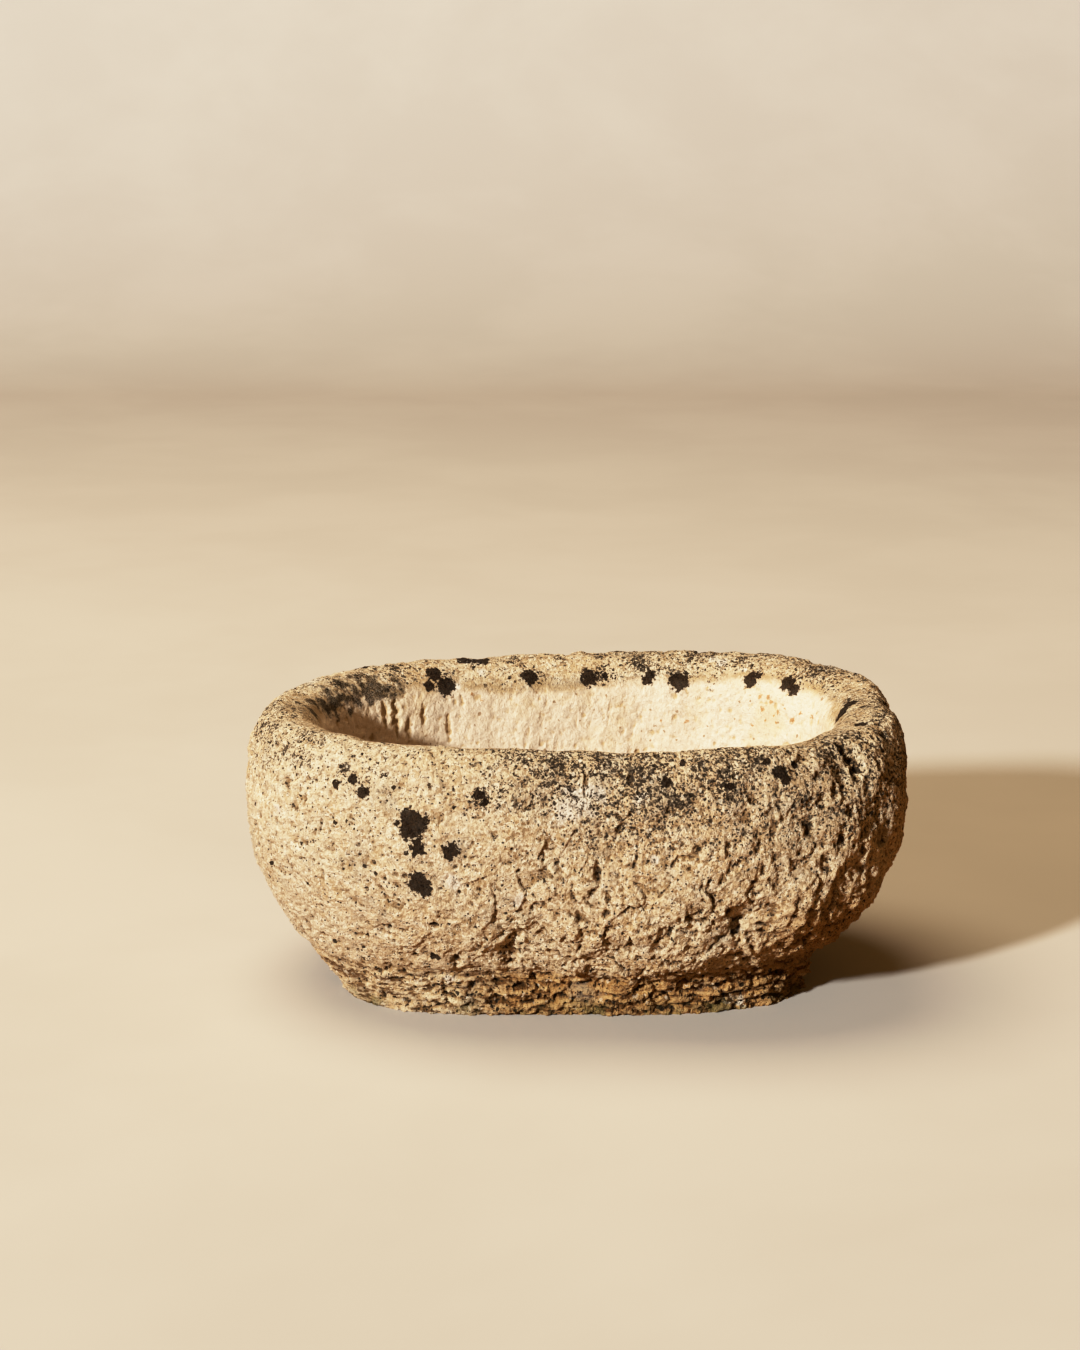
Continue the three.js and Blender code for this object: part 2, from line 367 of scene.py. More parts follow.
def facets(size, seed, stretch=(1, 1, 1)):
    """Flat chips of about that many millimetres on the outer skin, each tilted its own way."""
    dice = np.random.RandomState(seed)
    shuffled = dice.permutation(256)
    middles = dice.uniform(size=(256, 3))
    tilts = dice.normal(size=(256, 3))
    under = np.flatnonzero(outer > 0)
    place = bent[under] / (size * np.array(stretch)) + dice.uniform(50, 99, 3)
    cell = np.floor(place).astype(int)
    nearest = np.full(len(under), 9.0)
    tilted = np.zeros(len(under))
    for corner in np.ndindex(3, 3, 3):
        neighbour = cell + corner - 1
        which = drawn(shuffled, neighbour)
        offset = place - neighbour - middles[which]
        away = (offset**2).sum(1)
        closer = away < nearest
        nearest[closer] = away[closer]
        tilted[closer] = (offset * tilts[which]).sum(1)[closer]
    result = np.zeros(len(spots))
    result[under] = tilted
    return result * outer


def terraces(step, seed):
    """Low steps along the beds of the stone: each is full at its lower edge and falls away above it."""
    level = (height + 2.2 * step * rough(5 * step, seed, 3, (1.4, 1.4, 1), bent)) / step
    return (1 - (level - np.floor(level))) ** 1.5


def report_relief(part):
    """Says how deep and how high the relief is once a part of it is there."""
    print("with", part, "the relief goes from", round(relief.min(), 1), "to", round(relief.max(), 1), "mm")


print("space is bent by up to", round(np.abs(bent - spots).max(), 1), "mm")

# %% Soft lumps, crags and cracks
# Soft lumps of three sizes lie under everything.
relief = 0.45 * rough(14, 24, 3) * outer * (1 - 0.3 * worn)
relief += outer * (0.55 * rough(30, 27, 2, (1.2, 1.2, 0.9)) + 0.5 * rough(17, 29, 2, (1.3, 1.3, 0.8), bent))
# The broken lower front has crags with deep cracks between them, and smaller ones on top.
relief += broken * (0.7 * rough(17, 36, 3, (1, 1, 1.2), bent) - 1.0 * cracks(23, 31) ** 5 + 0.35)
relief += broken * (0.7 * cracks(12, 61, 3, (1, 1, 1.3)) ** 1.7 - 0.25)
# Among the pick strokes the cracks are narrow, so only a high power of them is used.
relief += picked * (0.4 * rough(8, 63, 3, (1, 1, 1.5), bent) - 0.7 * cracks(15, 65, 3, (1, 1, 1.5)) ** 7)
report_relief("crags")

# %% Flat chips and low steps
# The chips are strongest where the front broke, and weaker on the crown and at the far right.
dressed = outer * (0.65 + 0.2 * picked + 0.35 * broken - 0.1 * worn) * (1 - 0.4 * crown) * (1 - foot)
dressed *= 1 - 0.5 * ease(across, 150, 185)
relief += dressed * (1.9 * np.clip(facets(16, 81, (1, 1, 1.15)), -1.1, 0.4) + 0.2)
relief += 0.45 * dressed * np.clip(facets(6.5, 83), -1.2, 0.6)
steps_here = outer * (1 - foot) * ease(rough(34, 33, 2), -0.25, 0.4) * ease(height, 150, 105)
relief += steps_here * (1.1 * terraces(8, 71) - 0.4) * (0.5 + 0.5 * np.maximum(worn, broken))
# On the worn left, the cracks and the small lumps are drawn out sideways.
relief -= 0.8 * outer * worn * cracks(13, 38, 2, (2.2, 2.2, 0.7)) ** 5 * ease(height, 150, 90)
thin_cracks = cracks(7, 93, 2, (1.8, 1.8, 0.8)) ** 4
relief += worn * (0.55 * rough(9, 91, 2, (1.5, 1.5, 0.8), bent) - 0.5 * thin_cracks)
report_relief("chips")

# %% [markdown]
# The foot stood in damp soil, which ate the softer beds of the limestone back and left the harder ones
# as thin ledges. Noise that is stretched seven times sideways makes such beds at once, where layers
# modelled one by one would look like a stack of sheets. A deep seam runs above them, under the flank.

# %% Beds in the foot and the seam above them
SEAM_HEIGHT, SEAM_HALF, SEAM_DEPTH = 35, 2.0, 3.0
beds = rough(5.5, 41, 3, (7, 7, 1), bent)
ledge = 0.45 + 0.55 * ease(across, -140, -95)  # the left end of the foot is smoother
relief += foot * ledge * (1.9 * beds + 0.6 + 1.2 * facets(5, 85, (1.8, 1.8, 0.7)))
relief += 0.3 * outer * (1 - foot) * rough(7, 44, 2, (5, 5, 1), bent)
relief -= foot * ledge * (2.6 * cracks(9, 47, 3, (1.9, 1.9, 0.8)) ** 2 - 0.8 * rough(4.5, 49))
# The seam is a groove where the foot meets the flank. It wanders, and is lost here and there.
above_seam = height - SEAM_HEIGHT - 6 * lumps(55, 75) - 2.5 * rough(14, 77, 2)
seam = np.exp(-((above_seam / SEAM_HALF) ** 2)) * outer
relief -= SEAM_DEPTH * seam * ease(across, -60, 30) * ease(rough(24, 76, 2), -0.5, 0.3)
report_relief("the foot")

# %% Sandy grain, and the lumps of the inner wall
relief += rough(2.8, 51, 2) * outer * (0.4 + 0.12 * np.maximum(picked, crown) + 0.08 * worn)
inner_lumps = 0.35 * rough(15, 54, 2) + 0.6 * rough(8, 57, 3)
inner_lumps -= 0.4 * cracks(24, 58, 2) ** 8
relief += in_hollow * (inner_lumps + 0.28 * rough(3.2, 59, 2))
report_relief("grain")

# %% [markdown]
# Then come the separate marks: pick strokes, round pores left by shells, flutes that a punch left down
# the inner wall, and the deep pits that can be named in the picture. Each is a small bowl pressed
# along its own direction. A tree of the points finds the ones under each bowl quickly, and where bowls
# overlap the deeper one wins, as with a real tool. A crumbling edge comes from adding noise to the
# bowl's own outline.

# %% A tool mark
tree = kdtree.KDTree(len(spots))
for number, spot in enumerate(spots):
    tree.insert(spot, number)
tree.balance()
cut = np.zeros(len(spots))
crumble = 0.55 * rough(3.6, 67, 2)


def press(centre, along, length, width, depth, sharp=1.0, bite=0.0):
    """A bowl of that length, width and depth in millimetres, its length turned along a direction.

    With a bite, it is shallow at one end and deepest at the other, where the tool stopped. With a
    sharp below 1, its floor is flatter and its edge steeper."""
    found = tree.find_range(centre, 0.6 * length)
    if not found:
        return
    under = np.array([number for _, number, _ in found])
    offset = spots[under] - np.array(centre)
    along = along / np.linalg.norm(along)
    lengthways = offset @ along
    sideways = np.sqrt(np.maximum((offset**2).sum(1) - lengthways**2, 0))
    bowl = 1 - (2 * lengthways / length) ** 2 - (2 * sideways / width) ** 2 + crumble[under]
    bowl = np.clip(bowl, 0, 1) ** sharp * (1 + bite * np.clip(2 * lengthways / length, -1, 1))
    cut[under] = np.maximum(cut[under], depth * bowl)


def up_the_face(number):
    """The direction up the stone's surface at one point."""
    normal = outward[number]
    return np.array([0, 0, 1.0]) - normal * normal[2] + 1e-6


print("the tree holds", len(spots), "points")

# %% Strokes and chips
dice = np.random.RandomState(7)


def scattered(count, share):
    """Numbers of random points of the skin, more of them where share is high."""
    # The columns spread apart as they reach out, so a point there stands for more of the skin.
    room = np.zeros(len(spots))
    room[: rows * COLUMNS] = skin[:, :, 0].ravel()
    chance = share * room
    return dice.choice(len(spots), count, p=chance / chance.sum())


def down_the_face(number, lean, spread):
    """The direction down the surface at a point, turned aside by about that lean."""
    up = up_the_face(number)
    return -up - np.cross(outward[number], up) * dice.normal(lean, spread)


def press_marks(numbers, aside, lengths, widths, depths, sharp=1.0, bite=0.0):
    """A bowl at each of those points, with its measures drawn between two limits each."""
    for number in numbers:
        press(spots[number], down_the_face(number, *aside), dice.uniform(*lengths), dice.uniform(*widths),
              dice.uniform(*depths), sharp, bite)


clusters = ease(rough(26, 69, 2), -0.5, 0.5)
strokes = scattered(3600, (picked + 0.12 * outer) * (1 - 0.6 * broken) * (1 - foot) * (0.2 + clusters))
press_marks(strokes, (0.12, 0.35), (2.6, 6.5), (1.4, 2.2), (0.3, 0.9), 0.7, 0.5)
chips = scattered(1500, (broken + 0.6 * picked + 0.35 * worn) * (1 - foot) * (1 - 0.6 * crown))
for number in chips:
    along = down_the_face(number, 0.3, 0.9)
    size = dice.uniform(5, 19)
    press(spots[number], along, size, size * dice.uniform(0.4, 0.8), size * dice.uniform(0.04, 0.095),
          0.5, 0.9)
print(len(strokes), "pick strokes and", len(chips), "chips")

# %% Pores, gouges and flutes
pores = scattered(5200, outer * (0.3 + 1.5 * crown) * (1 - 0.5 * picked) + 0.2 * foot)
for number in pores:
    size = dice.uniform(1.6, 2.6)
    press(spots[number], up_the_face(number), size, size, dice.uniform(0.4, 1.2), 0.7)
gouges = scattered(190, (picked + 0.6 * broken + 0.15 * worn) * (1 - foot) * (1 - 0.6 * crown))
press_marks(gouges, (0.2, 0.8), (6, 15), (2, 3.8), (0.8, 2.0), 0.7, 0.6)
deep_pores = scattered(360, outer * (0.5 + foot + 0.5 * broken) * (1 - 0.5 * crown))
for number in deep_pores:
    size = dice.uniform(2, 3.6)
    press(spots[number], up_the_face(number), size * dice.uniform(1, 1.6), size, dice.uniform(1.4, 2.8), 0.6)
pocks = scattered(700, in_hollow * (ring_of < rows))
for number in pocks:
    size = dice.uniform(2.5, 7)
    press(spots[number], up_the_face(number), size, size * dice.uniform(0.6, 1),
          size * dice.uniform(0.06, 0.14), 0.6)
flutes = scattered(70, in_hollow * (ring_of < rows) * ease(height, 60, 90))
press_marks(flutes, (0, 0.15), (10, 26), (4, 8), (0.4, 1.0))
print(len(pores) + len(deep_pores), "pores,", len(gouges), "gouges,", len(flutes), "flutes")

# %% [markdown]
# Some hollows are so large that anyone who knows this stone would miss them: a slanting notch on the
# right shoulder, gouges down the middle, holes along the foot and a flake gone from the front of the
# rim. They are placed one by one, each with its half width and half height as seen in the picture,
# how far it leans from upright, and its depth in millimetres.

# %% Hollows placed one by one
WHOLE_FROM_HALF = 2.3  # twice, and a little more, because the edge of a bowl crumbles
# column, row, half width, half height, lean in degrees, depth
PLACED_HOLLOWS = (
    (846, 748, 7, 13, 25, 4.5), (854, 764, 8, 12, 20, 5.0), (856, 777, 5, 9, 10, 3.5),
    (851, 810, 6, 7, 0, 3.5), (810, 830, 4.5, 10, 0, 4.0), (586, 787, 3, 13, 0, 2.4),
    (631, 781, 3, 9, 0, 1.8), (620, 829, 4, 9, -25, 2.4), (598, 873, 4, 13, 0, 3.2),
    (609, 896, 4, 9, 0, 3.0), (606, 914, 5, 5, 0, 3.4), (729, 849, 3.5, 8, 0, 2.6),
    (698, 849, 4, 11, -40, 2.4), (709, 859, 3, 9, -45, 2.0), (763, 868, 3, 9, 0, 2.4),
    (738, 864, 4, 8, -30, 2.2), (724, 880, 4, 9, -30, 2.4), (733, 913, 6, 9, -20, 3.6),
    (737, 930, 6, 11, 10, 4.4), (764, 931, 8, 11, 25, 4.4), (753, 903, 3, 3, 0, 2.4),
    (511, 955, 10, 17, 10, 5.0), (518, 936, 7, 10, -20, 3.4), (455, 962, 6, 10, 0, 4.0),
    (433, 926, 4.5, 4, 0, 3.0), (416, 956, 4, 4, 0, 2.6), (379, 971, 4.5, 4.5, 0, 3.2),
    (384, 996, 3, 5, 0, 2.6), (388, 848, 3, 3, 0, 1.8), (337, 860, 2, 2, 0, 1.6),
    (332, 849, 2, 2, 0, 1.6), (396, 875, 3.5, 3, 0, 2.2), (405, 877, 3.5, 3.5, 0, 2.6),
    (455, 868, 3, 3, 0, 2.2), (472, 859, 3, 3, 0, 2.2), (393, 940, 2.5, 2.5, 0, 2.0),
    (654, 862, 3, 3, 0, 2.6), (689, 869, 2.5, 2.5, 0, 2.2), (560, 868, 5, 12, 10, 2.0),
    (545, 872, 9, 5, 60, 2.0), (492, 898, 46, 3, 0, 1.5), (540, 906, 16, 5, 10, 2.2),
    (470, 905, 10, 4, 0, 1.8), (585, 935, 10, 7, 30, 2.6), (640, 958, 9, 4, 0, 2.4),
    (690, 948, 12, 5, -10, 2.2), (448, 994, 7, 9, 0, 3.6), (474, 992, 8, 10, 0, 3.8),
    (497, 1000, 9, 6, 0, 3.0), (520, 988, 10, 5, 0, 3.0), (560, 999, 12, 5, 0, 3.0),
    (600, 985, 14, 4, 0, 2.8), (640, 990, 10, 6, 0, 3.0), (682, 984, 12, 5, 0, 2.6),
    (720, 985, 12, 6, 0, 2.4), (755, 978, 9, 6, 0, 2.8), (637, 753, 12, 2.5, -85, 1.6),
    (822, 800, 5, 9, -15, 2.4), (836, 790, 5, 10, -20, 2.6), (842, 842, 5, 9, 0, 2.8),
    (826, 866, 6, 10, 15, 2.6), (868, 742, 5, 12, 20, 2.0), (878, 762, 4, 10, 0, 1.8),
    (868, 790, 6, 12, 0, 2.0), (880, 820, 5, 12, 0, 2.0), (862, 850, 6, 12, 10, 2.2),
    (850, 757, 6, 24, 25, 6.5), (844, 713, 3.5, 13, 0, 4.0), (862, 724, 4, 6, 0, 2.5),
    (397, 716, 5, 18, 0, 3.0), (386, 712, 4, 14, 0, 2.0), (424, 716, 3, 12, 0, 1.6),
    (449, 728, 3, 14, 0, 1.6), (462, 700, 3, 6, 0, 1.2), (410, 730, 4, 12, 0, 1.8),
)


def placed(column, row):
    """The nearest point of the skin to a place in the picture, and millimetres to a pixel there."""
    point, distance = on_stone(column, row)
    number = tree.find(np.array(point) / MILLIMETRE)[1]
    return number, distance / FOCAL_PIXELS / MILLIMETRE


for column, row, half_width, half_height, lean, depth in PLACED_HOLLOWS:
    number, pixel = placed(column, row)
    up = up_the_face(number)
    side = np.cross(outward[number], up)
    along = up * math.cos(math.radians(lean)) + side * math.sin(math.radians(lean))
    press(spots[number], along, WHOLE_FROM_HALF * half_height * pixel, WHOLE_FROM_HALF * half_width * pixel,
          depth, 0.8)
print(len(PLACED_HOLLOWS), "hollows placed by eye")

# %% [markdown]
# The depths are now moved along the surface's own direction. The underside stays flat and on the
# ground, the edge of the foot moves only level, and at the end the points are held inside the box of
# the solid, so the worked stone is never larger than the part it stands for. Taking the average of the
# relief near each point away from it tells small hollows, below the average, from ridges, above it.
# The colour uses this for dirt and wear, and also to paint shade into the hollows and crevices.

# %% Carving the skin
FLOOR_RISE = 0.4  # the floor of the hollow may rise by so much, in millimetres
depth_change = (relief - cut) * (ring_of < drain_start)
depth_change[ring_of >= rows] = np.minimum(depth_change[ring_of >= rows], FLOOR_RISE)
depth_change *= np.where(ring_of < rows, 1, ease(drain_start - ring_of, 0, 4))
move = outward * depth_change[:, None]
move[ring_of == 0, 2] = 0
carved = spots + move
lowest, highest = np.array(solid_box) / MILLIMETRE
carved = np.clip(carved, lowest, highest)
mesh.vertices.foreach_set("co", (carved * MILLIMETRE).ravel())
mesh.update()
print("carved to a depth of", round(-depth_change.min(), 1), "mm; box kept:", bool((carved <= highest).all()))

# %% Small hollows and ridges
# Half the rows and columns that an average takes in, and the difference that counts as a full hollow.
FINE_WINDOW, FINE_DEPTH = (4, 5), 2.0
WIDE_WINDOW, WIDE_DEPTH = (14, 18), 2.5


def averaged(values, half_rows, half_columns):
    """The average of values around each point of the worked rows."""
    sheet = values[: rows * COLUMNS].reshape(rows, COLUMNS)
    padded = np.pad(sheet, ((half_rows, half_rows), (0, 0)), mode="edge")
    padded = np.pad(padded, ((0, 0), (half_columns, half_columns)), mode="wrap")
    for axis, half in ((0, half_rows), (1, half_columns)):
        total = np.cumsum(padded, axis=axis)
        total = np.insert(total, 0, 0, axis=axis)
        span = 2 * half + 1
        low = [slice(None)] * 2
        high = [slice(None)] * 2
        low[axis] = slice(0, -span)
        high[axis] = slice(span, None)
        padded = (total[tuple(high)] - total[tuple(low)]) / span
    result = values.copy()
    result[: rows * COLUMNS] = padded.ravel()
    return result


fine_hollow = np.clip((averaged(depth_change, *FINE_WINDOW) - depth_change) / FINE_DEPTH, -1, 1)
wide_hollow = np.clip((averaged(depth_change, *WIDE_WINDOW) - depth_change) / WIDE_DEPTH, -1, 1)
print("share of the skin in a small hollow:", round((fine_hollow > 0.1).mean(), 2))

# %% [markdown]
# Lichens, sooty smudges, soot-black stains, rust specks and chalky patches are placed too. The black
# stain on the left rim is drawn larger than the soot, so that it also paints the shade inside the left
# end. Each kind is stored as how near a point is to the middle of such a spot: 1 in the middle, 0 at
# its edge and below 0 outside. The material later frays the edges with noise, which a mask of only 0
# and 1 wouldn't allow. A smudge isn't a patch at all: it only raises the share of single dark grains.

# %% Lichens and smudges
# column, row and radius of each, in pixels of the picture
LICHENS = (
    (336, 784, 5), (353, 779, 6), (363, 793, 7), (479, 796, 6), (485, 803, 4), (412, 826, 17),
    (417, 848, 9), (450, 851, 10), (418, 884, 13), (425, 891, 8), (434, 956, 6), (780, 772, 8),
    (786, 780, 6), (666, 782, 6), (795, 765, 4), (682, 763, 4), (767, 762, 4), (730, 787, 5),
    (433, 674, 8), (429, 685, 6), (446, 687, 10), (529, 677, 9), (590, 677, 9), (605, 676, 4),
    (649, 675, 6), (647, 680, 6), (679, 682, 11), (751, 680, 8), (759, 676, 4), (788, 684, 9),
    (794, 690, 7), (861, 724, 7), (851, 703, 6), (847, 706, 6), (844, 710, 6), (841, 714, 6),
    (838, 719, 6), (836, 723, 5),
)
SMUDGES = (
    (558, 762, 14), (600, 760, 16), (545, 775, 10), (700, 765, 13), (752, 757, 9), (822, 757, 10),
    (866, 706, 9), (848, 700, 8), (838, 717, 8), (742, 659, 7), (690, 657, 8), (600, 656, 9),
    (560, 659, 9), (470, 661, 9), (395, 668, 9), (360, 674, 9), (336, 684, 10), (300, 704, 8),
    (262, 730, 10), (512, 660, 9), (440, 680, 16), (535, 678, 14), (597, 678, 13), (650, 680, 11),
    (682, 684, 16), (712, 684, 12), (755, 680, 14), (790, 688, 13), (481, 800, 16), (680, 800, 20),
    (730, 790, 20), (786, 776, 10), (800, 800, 12), (640, 775, 16), (342, 770, 12), (884, 735, 10),
    (820, 670, 18), (640, 662, 16),
)
print(len(LICHENS), "lichens and", len(SMUDGES), "smudges placed by eye")

# %% Stains with painted shade, rust specks and chalk
STAINS_AND_SHADE = (
    (325, 707, 15), (334, 702, 16), (345, 699, 17), (357, 696, 17), (368, 693, 17), (379, 691, 15),
    (390, 690, 14), (399, 689, 9), (315, 714, 11), (343, 685, 13), (371, 681, 12), (354, 677, 9),
    (327, 692, 13), (312, 702, 11), (392, 680, 10),
)
RUST = (
    (792, 720, 4), (778, 712, 3), (771, 703, 3), (763, 709, 3), (785, 708, 2), (760, 697, 3),
    (768, 697, 3), (800, 713, 3), (776, 722, 2), (765, 720, 2), (686, 722, 3), (661, 720, 2),
    (472, 695, 2), (481, 700, 2), (774, 715, 2), (812, 717, 3), (752, 725, 2),
)
CHALK = (
    (578, 803, 24), (566, 812, 18), (595, 795, 14), (721, 662, 8), (713, 660, 6), (278, 807, 7),
    (655, 860, 6), (453, 884, 12), (520, 900, 9), (447, 978, 8), (741, 1001, 8), (730, 1000, 6),
    (482, 673, 6), (456, 686, 5), (640, 800, 10),
)
print(len(STAINS_AND_SHADE), "spots of stain,", len(RUST), "rust specks and", len(CHALK), "chalky patches")

# %% How near each point is to a spot
def nearness(places, extra=()):
    """How near each point is to the middle of the nearest spot, against that spot's radius."""
    middles = list(extra)
    for column, row, radius in places:
        number, pixel = placed(column, row)
        middles.append((number, radius * pixel))
    near = np.full(len(spots), -1.0)
    for number, radius in middles:
        found = tree.find_range(spots[number], 2 * radius)
        under = np.array([item[1] for item in found])
        away = np.array([item[2] for item in found])
        near[under] = np.maximum(near[under], 1 - away / radius)
    return near


hidden = outer * ease(deep, 20, 80)
clustered = hidden * (0.25 + crown) * ease(rough(34, 99, 2), -0.15, 0.45)
far_lichens = [(n, 0.9 * dice.uniform(1, 2.7) ** 2) for n in scattered(55, clustered)]
far_chalk = [(n, dice.uniform(4, 12)) for n in scattered(20, hidden)]
near_lichen = nearness(LICHENS, far_lichens)
near_smudge = nearness(SMUDGES)
near_stain_and_shade = nearness(STAINS_AND_SHADE)
near_rust = nearness(RUST)
near_chalk = nearness(CHALK, far_chalk)
print("with the far side there are", len(LICHENS) + len(far_lichens), "lichens")

# %% The sooty brow, the soil, and painted shade low on the right
# A broken band of soot runs under the front of the rim. It counts as one more smudge.
BROW_DROP, BROW_HALF, BROW_STRENGTH = 26, 20, 0.42
from_brow = past_crest + BROW_DROP + 7 * rough(30, 95, 2)
brow = np.exp(-((from_brow / BROW_HALF) ** 2)) * ease(across, -75, -20)
brow *= ease(across, 90, 30) * ease(deep, -10, -60)
near_smudge = np.maximum(near_smudge, BROW_STRENGTH * brow * ease(rough(16, 97, 3), -0.75, 0.35))
# Soil browned the foot, except at its left end. The lower right flank, turned away from the lamp, is
# browned and darkened the same way: there it is painted shade.
shaded_right_low = ease(across, 95, 150) * ease(height, 105, 55)
soiled_and_shaded = np.maximum(foot * ease(across, -90, -30), shaded_right_low) * outer
print("share of the skin that is soiled:", round(soiled_and_shaded.mean(), 2))

# %% Storing the shares on the mesh
SHARES = {
    "fine_hollow": fine_hollow, "wide_hollow": wide_hollow, "in_hollow": in_hollow, "crown": crown,
    "foot": foot, "picked": picked, "worn": worn, "soiled_and_shaded": soiled_and_shaded, "lichen": near_lichen,
    "smudge": near_smudge, "stain_and_shade": near_stain_and_shade, "rust": near_rust, "chalk": near_chalk,
}
for name, values in SHARES.items():
    layer = mesh.attributes.new(name, "FLOAT", "POINT")
    layer.data.foreach_set("value", values.astype(np.float32))
print("stored", len(SHARES), "shares on the mesh")

# %% [markdown]
# The colours have to survive in a flat picture when the part is used elsewhere, so the skin gets a
# map of its own. The wall is cut in two strips, front and back, laid one above the other, and the
# floor, the underside and the drain fill the margin beside them. Cutting by rows and columns keeps
# every island whole; an automatic unwrap would break so rough a surface into thousands of scraps.

# %% The flattened map
SHEET = 800  # millimetres of stone to the side of the map
STRIP_LENGTH, STRIP_HEIGHT, GAP = 590, 386, 8
MARGIN = STRIP_LENGTH + 2 * GAP  # where the margin beside the two strips begins
FLOOR_MIDDLE = (MARGIN + 92, 140)
UNDER_MIDDLE = (MARGIN + 95, 505)
DRAIN_CORNER, DRAIN_WIDTH, DRAIN_ROW = (MARGIN + GAP, 280), 70, 4
share_round = np.concatenate([np.arange(len(ring)) / len(ring) for ring in rings])
ring_of_face = np.repeat(np.concatenate(face_ring), size_list)
first_share = np.repeat(share_round[corner_list[face_start]], size_list)
# Where a face crosses the end of a ring, its far corners are counted on past the end.
corner_share = share_round[corner_list]
corner_share = np.where(corner_share < first_share - 0.5, corner_share + 1, corner_share)
corner_share = np.where(corner_share > first_share + 0.5, corner_share - 1, corner_share)
corner_ring = ring_of[corner_list] + np.where(ring_of[corner_list] < ring_of_face - 1, len(rings), 0)
flat_x, flat_y = spots[corner_list, 0], spots[corner_list, 1]
map_u = np.empty(len(corner_list))
map_v = np.empty(len(corner_list))


def lay_flat(faces, across_map, up_map):
    """Puts the chosen faces at these places of the map, in millimetres."""
    map_u[faces] = across_map[faces]
    map_v[faces] = up_map[faces]


front = first_share >= 0.5
lay_flat(ring_of_face < rows - 1, (corner_share - 0.5 * front) * 2 * STRIP_LENGTH + GAP,
         corner_ring * STRIP_HEIGHT / rows + front * (STRIP_HEIGHT + GAP) + GAP)
lay_flat((ring_of_face >= rows - 1) & (ring_of_face < drain_start - 1), flat_y + FLOOR_MIDDLE[0],
         flat_x + FLOOR_MIDDLE[1])
lay_flat((ring_of_face >= drain_start - 1) & (ring_of_face < under_start - 1),
         corner_share * DRAIN_WIDTH + DRAIN_CORNER[0],
         (corner_ring - drain_start) * DRAIN_ROW + DRAIN_CORNER[1])
lay_flat(ring_of_face >= under_start - 1, flat_y + UNDER_MIDDLE[0], flat_x + UNDER_MIDDLE[1])
stone_map = mesh.uv_layers.new(name="OFBake")
stone_map.data.foreach_set("uv", (np.column_stack([map_u, map_v]) / SHEET).ravel())
print("map spans", np.round([map_u.min(), map_u.max(), map_v.min(), map_v.max()], 0), "mm of", SHEET)

# %% [markdown]
# The colour of old limestone is layered: cream stone, grey weathering near the top, ochre soil low down,
# and growth over all of it. Each layer is a mask and a colour. Small helpers keep the node trees
# short: one adds a node and fills its sockets, another lays a colour over another through a mask.

# %% Adding nodes
def fill(tree, socket, value):
    """Gives a socket a value, or a link from another node's socket."""
    if isinstance(value, bpy.types.NodeSocket):
        tree.links.new(value, socket)
    else:
        socket.default_value = value


def put(tree, kind, sockets=(), **settings):
    """A node of that kind, with its settings and a value or a link on each named socket."""
    made = tree.nodes.new("ShaderNode" + kind)
    for name, value in settings.items():
        setattr(made, name, value)
    for name, value in dict(sockets).items():
        fill(tree, made.inputs[name], value)
    return made


def new_material(name):
    """A new material, its node tree and the shader in it."""
    made = bpy.data.materials.new(name)
    made.use_nodes = True
    return made, made.node_tree, made.node_tree.nodes["Principled BSDF"]


def maths(tree, operation, first, second=0.0):
    """The result of one sum or product."""
    return put(tree, "Math", {0: first, 1: second}, operation=operation).outputs[0]


def between_levels(tree, value, low, high, top=1.0):
    """From 0 to top as the value goes from low to high, smoothly."""
    levels = {"Value": value, "From Min": low, "From Max": high, "To Max": top}
    return put(tree, "MapRange", levels, interpolation_type="SMOOTHSTEP").outputs["Result"]


def lay_over(tree, mask, under, over, way="MIX"):
    """The colour under, with the colour over laid on it where the mask is."""
    return put(tree, "Mix", {0: mask, 6: under, 7: over}, data_type="RGBA", blend_type=way).outputs[2]


print("helpers for the node trees of Blender", bpy.app.version_string)

# %% Cloudy noise and single grains
def noise(tree, place, scale, detail=3.0, roughness=0.55, warp=0.0):
    """A cloudy value around a half, with scale lumps to the metre."""
    sockets = {"Vector": place, "Scale": scale, "Detail": detail, "Roughness": roughness, "Distortion": warp}
    return put(tree, "TexNoise", sockets).outputs[0]


def cells(tree, place, scale):
    """Grains with scale of them to the metre: the own random value of each, and how far its middle is."""
    wobbles = maths(tree, "MULTIPLY", scale, 1.6)
    wobble = put(tree, "TexNoise", {"Vector": place, "Scale": wobbles, "Detail": 1.0})
    sway = maths(tree, "DIVIDE", 0.8, scale)
    moved = put(tree, "VectorMath", {0: wobble.outputs["Color"], 1: sway, 2: place}, operation="MULTIPLY_ADD")
    grains = put(tree, "TexVoronoi", {"Vector": moved.outputs[0], "Scale": scale})
    own = put(tree, "SeparateColor", {0: grains.outputs["Color"]}).outputs[0]
    return own, grains.outputs["Distance"]


print("600 lumps to the metre make grains of about", round(1000 / 600, 1), "mm")

# %% Making and placing a group
def new_group(name, inputs, outputs):
    """An empty node group with named inputs and outputs."""
    group = bpy.data.node_groups.new(name, "ShaderNodeTree")
    for title, value in inputs.items():
        kind = "NodeSocketVector" if value is None else "NodeSocketFloat"
        socket = group.interface.new_socket(title, in_out="INPUT", socket_type=kind)
        if value is not None:
            socket.default_value = value
    for title in outputs:
        group.interface.new_socket(title, in_out="OUTPUT", socket_type="NodeSocketFloat")
    return group, group.nodes.new("NodeGroupInput").outputs, group.nodes.new("NodeGroupOutput").inputs


def use_group(tree, group, **values):
    """A copy of a group in a tree; an underscore in a name stands for a space."""
    made = tree.nodes.new("ShaderNodeGroup")
    made.node_tree = group
    for name, value in values.items():
        fill(tree, made.inputs[name.replace("_", " ")], value)
    return made.outputs


print("groups so far:", len(bpy.data.node_groups))

